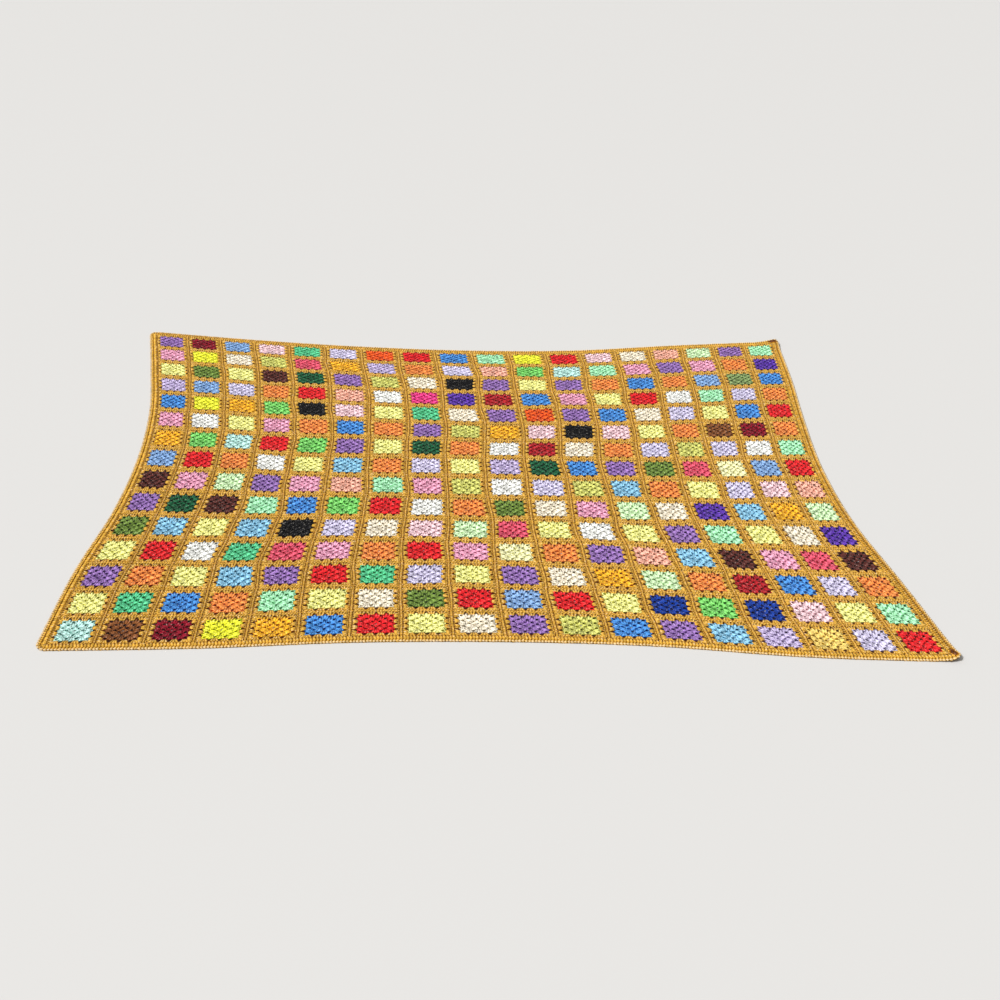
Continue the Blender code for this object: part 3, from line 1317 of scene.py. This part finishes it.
def hole_shade_mask(tree, sizes):
    """Where the painted shade of the holes between clusters lies, in every square alike but straying
    a little, and that of the grooves beside the seams, as a socket from 0 to its darkness."""
    maths, vectors = partial(node_maths, tree), partial(node_vectors, tree)
    chart = add(tree, "ShaderNodeAttribute", attribute_name="chart").outputs["Vector"]
    drift = noise_field(tree, chart, HOLE_STRAY_SCALE, 1.0).outputs["Color"]
    centred = vectors("SUBTRACT", drift, (0.5, 0.5, 0.5))
    spot = vectors("ADD", chart, scaled(tree, centred, HOLE_STRAY))
    plan = add(tree, "ShaderNodeSeparateXYZ", {0: spot})
    # Folded onto one eighth of a square, which all the others mirror
    from_seam = {axis: maths("PINGPONG", plan.outputs[axis], SQUARE / 2) for axis in "XY"}
    x, y = (maths("SUBTRACT", SQUARE / 2, from_seam[axis]) for axis in "XY")
    out, along = maths("MAXIMUM", x, y), maths("MINIMUM", x, y)
    ways = {"X": out, "Y": maths("DIVIDE", along, HOLE_STRETCH)}
    here = add(tree, "ShaderNodeCombineXYZ", ways).outputs[0]
    nearest = None
    for hole_out, hole_along in hole_places(sizes):
        far = add(
            tree,
            "ShaderNodeVectorMath",
            {0: here, 1: (hole_out, hole_along / HOLE_STRETCH, 0.0)},
            operation="DISTANCE",
        ).outputs["Value"]
        nearest = far if nearest is None else maths("MINIMUM", nearest, far)

    patchy = noise_field(tree, chart, HOLE_VARIATION_SCALE, 0.0).outputs["Fac"]
    opened = maths("MULTIPLY_ADD", patchy, HOLE_VARIATION, 1 - HOLE_VARIATION * HOLE_USUAL)
    hole = fading(tree, nearest, *(sizes.hole_shade_size * share for share in HOLE_FADE))
    inner, outer = HOLE_SHADES
    depth = ranged(tree, out, inner["out"], outer["out"], inner["deep"], outer["deep"], "LINEAR")
    mask = maths("MULTIPLY", maths("MINIMUM", maths("MULTIPLY", hole, opened), 1.0), depth)
    # Painted shade in the grooves beside the seams
    for axis, depth in GROOVE_SHADES.items():
        aside = maths("ABSOLUTE", maths("SUBTRACT", from_seam[axis], GROOVE_ASIDE))
        mask = maths("MAXIMUM", mask, maths("MULTIPLY", fading(tree, aside, 0.0, GROOVE_WIDTH / 2), depth))
    return mask


def yarn_finish_tree(sizes):
    """Shader node group: how wool yarn looks along and across a stitch, from its colour, with
    painted shade in its deep places, holes and grooves and a painted highlight on its topmost
    fibres.
    """
    tree, start, end = new_tree(
        "Yarn Finish",
        "ShaderNodeTree",
        {
            "Colour": ("NodeSocketColor", (0.8, 0.8, 0.8, 1.0)),
            "Deep Shade": ("NodeSocketFloat", 0.20),
            "Deep Strength": ("NodeSocketFloat", 1.1),
            "Shade Start": ("NodeSocketFloat", 0.02),
            "Shade End": ("NodeSocketFloat", 0.70),
            "Stitch Variation": ("NodeSocketFloat", 0.42),
            "Fibre Variation": ("NodeSocketFloat", 1.25),
            "Ply Shade": ("NodeSocketFloat", 0.44),
            "Ply Turns": ("NodeSocketFloat", 3.0),
            "Ply Depth": ("NodeSocketFloat", 0.00045),
            "Fibre Highlight": ("NodeSocketFloat", 0.30),
            "Fibre Highlight Start": ("NodeSocketFloat", 0.92),
            "Fibre Highlight End": ("NodeSocketFloat", 1.22),
            "Hole Shade": ("NodeSocketFloat", 1.0),
            "Edging Groove Shade": ("NodeSocketFloat", 0.0),
        },
        {
            "Colour": ("NodeSocketColor", None),
            "Roughness": ("NodeSocketFloat", None),
            "Height": ("NodeSocketFloat", None),
        },
    )
    inputs = start.outputs
    maths = partial(node_maths, tree)

    def attribute(name):
        return add(tree, "ShaderNodeAttribute", attribute_name=name).outputs["Fac"]

    def centred(value, amount):
        return maths("MULTIPLY", maths("SUBTRACT", value, 0.5), amount)

    along, beside, bare = attribute("along"), attribute("beside"), attribute("bare")
    # Painted shade: the colour darkens where a stitch lies deep between others
    not_deep = ranged(tree, bare, inputs["Shade Start"], inputs["Shade End"])
    # Painted shade in the holes between clusters and the grooves beside the seams
    holes = maths("MULTIPLY", hole_shade_mask(tree, sizes), inputs["Hole Shade"])
    # Painted shade in the edging's grooves and the hollows of its curled tips
    grooves = maths("MULTIPLY", edging_shade_mask(tree), inputs["Edging Groove Shade"])
    beside_hole = maths("SUBTRACT", 1.0, maths("MAXIMUM", holes, grooves))
    exposed = maths("MULTIPLY", not_deep, beside_hole)
    hidden = maths("SUBTRACT", 1.0, exposed)
    # Two plies wind round each other along the stitch. Their bump comes with light and dark bands
    # in the colour: painted shade in the grooves between the plies
    winding = maths("MULTIPLY_ADD", along, inputs["Ply Turns"], maths("MULTIPLY", beside, PLY_SLANT))
    ply = maths("MULTIPLY_ADD", maths("SINE", maths("MULTIPLY", winding, math.tau)), 0.5, 0.5)
    place = add(tree, "ShaderNodeTexCoord").outputs["Object"]
    fibre = noise_field(tree, place, FIBRE_SCALE, 3.0, Roughness=0.7).outputs["Fac"]
    strand = noise_field(tree, place, STRAND_SCALE, 2.0, Roughness=0.6).outputs["Fac"]
    fade = noise_field(tree, place, FADE_SCALE, 2.0).outputs["Fac"]

    uneven = centred(attribute("stitch_shade"), inputs["Stitch Variation"])
    fuzz = centred(maths("ADD", fibre, maths("SUBTRACT", strand, 0.5)), inputs["Fibre Variation"])
    # Painted shade: darker where the plies' bump is low
    ply_shade = centred(ply, inputs["Ply Shade"])
    patches = centred(fade, FADE_AMOUNT)
    tone = maths("ADD", 1.0, maths("ADD", maths("ADD", uneven, fuzz), maths("ADD", patches, ply_shade)))
    # Painted shade: light that finds its way between the stitches falls on yarn several times, so
    # deep places are painted both darker and fuller in colour.
    fuller = add(
        tree,
        "ShaderNodeGamma",
        {0: inputs["Colour"], 1: maths("MULTIPLY_ADD", hidden, inputs["Deep Strength"], 1.0)},
    ).outputs[0]
    paleness = add(tree, "ShaderNodeRGBToBW", {0: inputs["Colour"]}).outputs[0]
    glow = maths("MULTIPLY_ADD", paleness, PALE_GLOW, 1 - PALE_GLOW * USUAL_PALENESS)
    deepest = maths("MULTIPLY", glow, inputs["Deep Shade"])
    reached = maths("MULTIPLY_ADD", exposed, maths("SUBTRACT", 1.0, deepest), deepest)
    tinted = scaled(tree, fuller, maths("MULTIPLY", tone, reached))
    # Painted highlight: where loose fibres on the topmost yarn catch the light, the colour is
    # mixed towards a pale one
    highlight_reach = maths("MULTIPLY_ADD", maths("SUBTRACT", strand, 0.5), HIGHLIGHT_SPREAD, bare)
    highlight_place = ranged(tree, highlight_reach, inputs["Fibre Highlight Start"], inputs["Fibre Highlight End"])
    highlight_share = maths("MULTIPLY", maths("MULTIPLY", highlight_place, beside_hole), inputs["Fibre Highlight"])
    # Inputs 6 and 7 of a Mix node are its two colours, and output 2 is the mixed one
    highlighted = add(tree, "ShaderNodeMix", {"Factor": highlight_share, 6: tinted, 7: HIGHLIGHT_COLOUR}, data_type="RGBA")
    tree.links.new(highlighted.outputs[2], end.inputs["Colour"])
    rough = maths("MULTIPLY_ADD", fibre, ROUGHNESS["more"], ROUGHNESS["flat"])
    tree.links.new(rough, end.inputs["Roughness"])
    height = maths("ADD", maths("MULTIPLY", ply, inputs["Ply Depth"]), maths("MULTIPLY", fibre, FIBRE_DEPTH))
    tree.links.new(height, end.inputs["Height"])
    return tree


def yarn_material(name, colour=None, settings=None):
    """A matt yarn. Without a colour it takes each square's own."""
    material = bpy.data.materials.new(name)
    material.use_nodes = True
    tree = material.node_tree
    shader = tree.nodes["Principled BSDF"]
    finish = add(tree, "ShaderNodeGroup", node_tree=bpy.data.node_groups["Yarn Finish"])
    for label, value in (settings or {}).items():
        finish.inputs[label].default_value = value
    if colour is None:
        own = add(tree, "ShaderNodeAttribute", attribute_name="yarn_colour")
        tree.links.new(own.outputs["Color"], finish.inputs["Colour"])
    else:
        finish.inputs["Colour"].default_value = (*colour, 1.0)
    relief = {"Height": finish.outputs["Height"], "Strength": BUMP_STRENGTH, "Distance": 1.0}
    bump = add(tree, "ShaderNodeBump", relief)
    tree.links.new(finish.outputs["Colour"], shader.inputs["Base Color"])
    tree.links.new(finish.outputs["Roughness"], shader.inputs["Roughness"])
    tree.links.new(bump.outputs["Normal"], shader.inputs["Normal"])
    shader.inputs["Specular IOR Level"].default_value = SPECULAR
    shader.inputs["Sheen Weight"].default_value = SHEEN["weight"]
    shader.inputs["Sheen Roughness"].default_value = SHEEN["roughness"]
    return material


def plain_material(name, colour, roughness):
    """A plain matt finish."""
    material = bpy.data.materials.new(name)
    material.use_nodes = True
    shader = material.node_tree.nodes["Principled BSDF"]
    shader.inputs["Base Color"].default_value = (*colour, 1.0)
    shader.inputs["Roughness"].default_value = roughness
    return material


# ---------------------------------------------------------------- the pieces

# Colour maps: a square takes a cell for its upper faces and one for its undersides, the mustard
# field keeps a margin round itself, and the edging is laid out in rows with room between them
MAP_CELLS_A_SQUARE = 2
MAP_MARGIN = (0.010, 0.010)
EDGING_MAP_ROWS = 16
EDGING_ROW_HEIGHT = EDGING_WIDTH * 1.3
EDGING_MAP_MARGIN = (0.010, 0.003)

# What each kind of yarn sets on the shared finish, its painted shade and painted highlight among
# them
COLOURED_FINISH = {
    "Shade End": 0.60,
    "Deep Strength": 1.4,
    "Deep Shade": 0.18,
    "Stitch Variation": 0.54,
    "Fibre Highlight": 0.32,
}
MUSTARD_FINISH = {
    "Deep Strength": 2.0,
    "Deep Shade": 0.20,
    "Stitch Variation": 0.36,
    "Ply Shade": 0.40,
    "Fibre Highlight": 0.72,
}
EDGING_FINISH = {**MUSTARD_FINISH, "Hole Shade": 0.0, "Edging Groove Shade": 1.0}
# The rim's paler look is a painted highlight on its loose fibres
RIM_FINISH = {"Deep Strength": 0.3, "Fibre Highlight": 0.50, "Fibre Highlight Start": 0.40, "Fibre Highlight End": 0.90, "Hole Shade": 0.0}


def base_settings(sizes):
    """What every piece shares: how uneven its stitches are."""
    return {
        "Unevenness": sizes.unevenness,
        "Turn Unevenness": sizes.turn_unevenness,
        "Seed": sizes.seed,
    }


def ride(piece):
    """Puts a piece on the blanket's one body."""
    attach(piece, "root")


class BLANKET_OT_coloured_squares(bpy.types.Operator):
    """Crochet the three coloured rounds of every square, a piece for each kind of colour"""

    bl_idname = "blanket.coloured_squares"
    bl_label = "Coloured squares"

    def execute(self, context):
        sizes, yarns = context.scene.blanket_sizes, context.scene.blanket_yarns
        order = scattered_yarns()
        posts, chains = [], []
        for number, share in ((1, FIRST_ROUND_WIDTH), (2, 1), (3, 1)):
            posts += round_posts(sizes, number, sizes.stitch_width * share, sizes.stitch_height)
            chains += round_chains(sizes, number)
        chains += centre_chains(sizes)
        shared = {
            **base_settings(sizes),
            "Post Chart": chart_object("coloured_posts", posts),
            "Post Stitch": post_stitch("treble", TREBLE),
            "Chain Chart": chart_object("coloured_chains", chains),
            "Chain Stitch": chain_stitch("round_chain", "round"),
            "Web Chart": chart_object("coloured_webs", round_webs(sizes, 2) + round_webs(sizes, 3)),
            "Web Stitch": post_stitch("web", WEB),
            "Cloth": field_cloth(sizes),
            "Cloth Size": (FIELD_SIZE.x, FIELD_SIZE.y, 1.0),
            "Yarn": yarn_material("coloured_wool", settings=COLOURED_FINISH),
        }
        for name in dict.fromkeys(yarn["piece"] for yarn in YARNS):
            mine = [i for i, yarn in enumerate(order) if yarn["piece"] == name]
            cells = math.ceil(math.sqrt(MAP_CELLS_A_SQUARE * len(mine)))
            spots = []
            for place, i in enumerate(mine):
                cell = Vector((place % cells + 0.5, place // cells + 0.5)) * SQUARE
                spots.append(
                    {
                        "place": square_middle(i),
                        "colour": getattr(yarns, order[i]["name"]),
                        "shift": cell - square_middle(i),
                    }
                )
            below = math.ceil(len(mine) / cells) * SQUARE
            piece = crochet(
                name,
                layout_object(f"{name}_places", spots),
                {
                    **shared,
                    "Map Size": (cells * SQUARE, max(cells * SQUARE, 2 * below), 1.0),
                    "Underside Shift": (0.0, below, 0.0),
                },
            )
            ride(piece)
        return {"FINISHED"}


def field_settings(sizes):
    """What the mustard pieces of the field share: their map is the field's plan, with its upper
    faces in the lower half and its undersides in the upper half."""
    mapped = FIELD_SIZE + 2 * Vector(MAP_MARGIN)
    return {
        **base_settings(sizes),
        "Cloth": field_cloth(sizes),
        "Cloth Size": (FIELD_SIZE.x, FIELD_SIZE.y, 1.0),
        "Map Size": (mapped.x, mapped.y * 2, 1.0),
        "Underside Shift": (0.0, mapped.y, 0.0),
    }


def every_square(colour):
    """The layout of all the squares, for a piece that has a stitch chart in each."""
    count = SQUARES_ACROSS * SQUARES_DEEP
    spots = [{"place": square_middle(i), "colour": colour, "shift": MAP_MARGIN} for i in range(count)]
    return layout_object("every_square", spots)


def mustard_yarn(context):
    """The mustard material of the squares and seams, made once."""
    made = bpy.data.materials.get("mustard_wool")
    return made or yarn_material("mustard_wool", context.scene.blanket_yarns.mustard, MUSTARD_FINISH)


class BLANKET_OT_mustard_rounds(bpy.types.Operator):
    """Crochet the last round of every square in mustard yarn"""

    bl_idname = "blanket.mustard_rounds"
    bl_label = "Mustard rounds"

    def execute(self, context):
        sizes = context.scene.blanket_sizes
        posts = round_posts(sizes, 4, sizes.stitch_width, sizes.stitch_height) + corner_posts(sizes)
        shared = {**field_settings(sizes), "Yarn": mustard_yarn(context)}
        mustard = context.scene.blanket_yarns.mustard
        rounds = crochet(
            "mustard_rounds",
            every_square(mustard),
            {
                **shared,
                "Post Chart": chart_object("mustard_posts", posts),
                "Post Stitch": post_stitch("mustard_treble", MUSTARD_TREBLE),
            },
        )
        chains = crochet(
            "mustard_chains",
            every_square(mustard),
            {
                **shared,
                "Chain Chart": chart_object("mustard_chain_chart", round_chains(sizes, 4)),
                "Chain Stitch": chain_stitch("mustard_chain", "mustard"),
                "Web Chart": chart_object("mustard_webs", round_webs(sizes, 4)),
                "Web Stitch": post_stitch("mustard_web", WEB),
            },
        )
        for piece in (rounds, chains):
            ride(piece)
        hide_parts("granny_field")
        return {"FINISHED"}


class BLANKET_OT_seams(bpy.types.Operator):
    """Crochet the raised ridges that join the squares"""

    bl_idname = "blanket.seams"
    bl_label = "Seams"

    def execute(self, context):
        sizes = context.scene.blanket_sizes
        mustard = context.scene.blanket_yarns.mustard
        whole_field = [{"place": (0.0, 0.0), "colour": mustard, "shift": MAP_MARGIN}]
        seams = crochet(
            "seams",
            layout_object("seam_places", whole_field),
            {
                **field_settings(sizes),
                "Chain Chart": chart_object("seam_chart", seam_chains(sizes)),
                "Chain Stitch": chain_stitch("seam_chain", "seam"),
                "Web Chart": chart_object("seam_bed_chart", seam_beds(sizes)),
                "Web Stitch": post_stitch("seam_bed", WEB),
                "Yarn": mustard_yarn(context),
            },
        )
        ride(seams)
        return {"FINISHED"}


class BLANKET_OT_edging(bpy.types.Operator):
    """Crochet the edging all round: rounds of short stitches and the cord-like rim"""

    bl_idname = "blanket.edging"
    bl_label = "Edging"

    def execute(self, context):
        sizes = context.scene.blanket_sizes
        cloth, length = edging_cloth()
        ribs = EDGING_MAP_ROWS * round(length / sizes.rib_pitch / EDGING_MAP_ROWS)
        per_row = ribs // EDGING_MAP_ROWS
        row_length, rows_height = length / EDGING_MAP_ROWS, EDGING_MAP_ROWS * EDGING_ROW_HEIGHT
        mustard = context.scene.blanket_yarns.mustard
        aside, up = EDGING_MAP_MARGIN
        spots = []
        for i in range(ribs):
            row = i // per_row
            spots.append(
                {
                    "place": ((i + 0.5) * length / ribs, 0.0),
                    "colour": mustard,
                    "shift": (aside - row * row_length, up + row * EDGING_ROW_HEIGHT),
                }
            )
        shared = {
            **base_settings(sizes),
            "Cloth": cloth,
            "Cloth Size": (length, EDGING_WIDTH, 1.0),
            "Map Size": (row_length + 2 * aside, 2 * rows_height, 1.0),
            "Underside Shift": (0.0, rows_height, 0.0),
        }
        rounds = crochet(
            "edging_rounds",
            layout_object("edging_places", spots),
            {
                **shared,
                "Post Chart": chart_object("edging_posts", edging_posts(sizes, RIB_ROUNDS)),
                "Post Stitch": post_stitch("short_stitch", SHORT_STITCH),
                "Yarn": yarn_material("edging_wool", mustard, EDGING_FINISH),
            },
        )
        rim = crochet(
            "edging_rim",
            layout_object("rim_places", spots),
            {
                **shared,
                "Post Chart": chart_object("rim_posts", edging_posts(sizes, RIM_ROUNDS)),
                "Post Stitch": post_stitch("rim_stitch", RIM_STITCH),
                "Chain Chart": chart_object("rim_chain", edging_chain(sizes, EDGING_RIM)),
                "Chain Stitch": chain_stitch("rim_stitch_chain", "rim"),
                "Yarn": yarn_material("rim_wool", mustard, RIM_FINISH),
            },
        )
        for piece in (rounds, rim):
            ride(piece)
        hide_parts("edging")
        return {"FINISHED"}


class BLANKET_OT_declare_sheet(bpy.types.Operator):
    """Does nothing: no flat size is given here"""

    bl_idname = "blanket.declare_sheet"
    bl_label = "Flat size"

    def execute(self, context):
        # The coloured part of a square is nearly as wide as its third round, whose clusters
        # stand a little back from its corners
        return {"FINISHED"}


# ---------------------------------------------------------------- the stage

# Where the camera stands, how it is turned from straight ahead, tipped and rolled, and its lens
CAMERA = {
    "location": (-0.172, -2.745, 1.498),
    "turned": math.radians(-4.626),
    "down": math.radians(30.087),
    "rolled": math.radians(2.754),
    "lens": 46.47,
    "sensor": 36.0,
}
FLOOR = {"half_size": 60.0, "colour": (0.66, 0.652, 0.64), "roughness": 0.7}
KEY_LIGHT = {"from": (-2.4, -1.0, 3.0), "strength": 3.4, "softness": math.radians(14)}
STUDIO_LIGHT = {"colour": (1.0, 0.985, 0.955, 1.0), "strength": 0.42}


def key_light(scene):
    """A large far light, so soft that its shadows have no hard edge, and even over the floor."""
    data = bpy.data.lights.new("key", "SUN")
    data.energy = KEY_LIGHT["strength"]
    data.angle = KEY_LIGHT["softness"]
    lamp = bpy.data.objects.new("key", data)
    lamp.location = KEY_LIGHT["from"]
    lamp.rotation_euler = (-lamp.location).to_track_quat("-Z", "Y").to_euler()
    scene.collection.objects.link(lamp)


def studio_light(scene):
    """Pale light from all round, with colours shown as they are."""
    world = bpy.data.worlds.new("studio")
    world.use_nodes = True
    background = world.node_tree.nodes["Background"]
    background.inputs["Color"].default_value = STUDIO_LIGHT["colour"]
    background.inputs["Strength"].default_value = STUDIO_LIGHT["strength"]
    scene.world = world
    scene.view_settings.view_transform = "Standard"


def pale_floor(scene):
    """A plain floor that reaches to the horizon."""
    bm = bmesh.new()
    bmesh.ops.create_grid(bm, x_segments=1, y_segments=1, size=FLOOR["half_size"])
    mesh = bpy.data.meshes.new("floor")
    bm.to_mesh(mesh)
    bm.free()
    mesh.materials.append(plain_material("pale_floor", FLOOR["colour"], FLOOR["roughness"]))
    floor = bpy.data.objects.new("floor", mesh)
    scene.collection.objects.link(floor)
    return floor


def studio_camera(scene):
    """The camera, standing at the near side and looking down on the blanket."""
    data = bpy.data.cameras.new("camera")
    data.sensor_width = CAMERA["sensor"]
    data.lens = CAMERA["lens"]
    camera = bpy.data.objects.new("camera", data)
    facing = (
        Matrix.Rotation(CAMERA["turned"], 4, "Z")
        @ Matrix.Rotation(math.pi / 2 - CAMERA["down"], 4, "X")
        @ Matrix.Rotation(CAMERA["rolled"], 4, "Z")
    )
    camera.matrix_world = Matrix.Translation(CAMERA["location"]) @ facing
    scene.collection.objects.link(camera)
    scene.camera = camera


class BLANKET_OT_stage(bpy.types.Operator):
    """Set the pale floor, the soft lights and the camera"""

    bl_idname = "blanket.stage"
    bl_label = "Stage"

    def execute(self, context):
        scene = context.scene
        pale_floor(scene)
        key_light(scene)
        studio_light(scene)
        studio_camera(scene)
        return {"FINISHED"}


# ---------------------------------------------------------------- the add-on

OPERATORS = (
    BLANKET_OT_coloured_squares,
    BLANKET_OT_mustard_rounds,
    BLANKET_OT_seams,
    BLANKET_OT_edging,
    BLANKET_OT_declare_sheet,
    BLANKET_OT_stage,
)


class BLANKET_PT_panel(bpy.types.Panel):
    """Sizes, yarns and pieces of the blanket"""

    bl_idname = "BLANKET_PT_panel"
    bl_label = "Granny square blanket"
    bl_space_type = "VIEW_3D"
    bl_region_type = "UI"
    bl_category = "Blanket"

    def draw(self, context):
        for group in (context.scene.blanket_sizes, context.scene.blanket_yarns):
            box = self.layout.box()
            for name in type(group).__annotations__:
                box.prop(group, name)
        for operator in OPERATORS:
            self.layout.operator(operator.bl_idname)


CLASSES = (BlanketSizes, BlanketYarns, *OPERATORS, BLANKET_PT_panel)


def register():
    """Adds the classes and the two groups of settings."""
    for made in CLASSES:
        bpy.utils.register_class(made)
    bpy.types.Scene.blanket_sizes = PointerProperty(type=BlanketSizes)
    bpy.types.Scene.blanket_yarns = PointerProperty(type=BlanketYarns)


def unregister():
    """Takes the two groups of settings and the classes out again."""
    del bpy.types.Scene.blanket_yarns
    del bpy.types.Scene.blanket_sizes
    for made in reversed(CLASSES):
        bpy.utils.unregister_class(made)


def main():
    """Makes the whole blanket and its stage."""
    register()
    work_stitches_tree()
    crochet_tree()
    yarn_finish_tree(bpy.context.scene.blanket_sizes)
    bpy.ops.blanket.coloured_squares()
    bpy.ops.blanket.mustard_rounds()
    bpy.ops.blanket.seams()
    bpy.ops.blanket.edging()
    bpy.ops.blanket.declare_sheet()
    bpy.ops.blanket.stage()


if __name__ == "__main__":
    main()
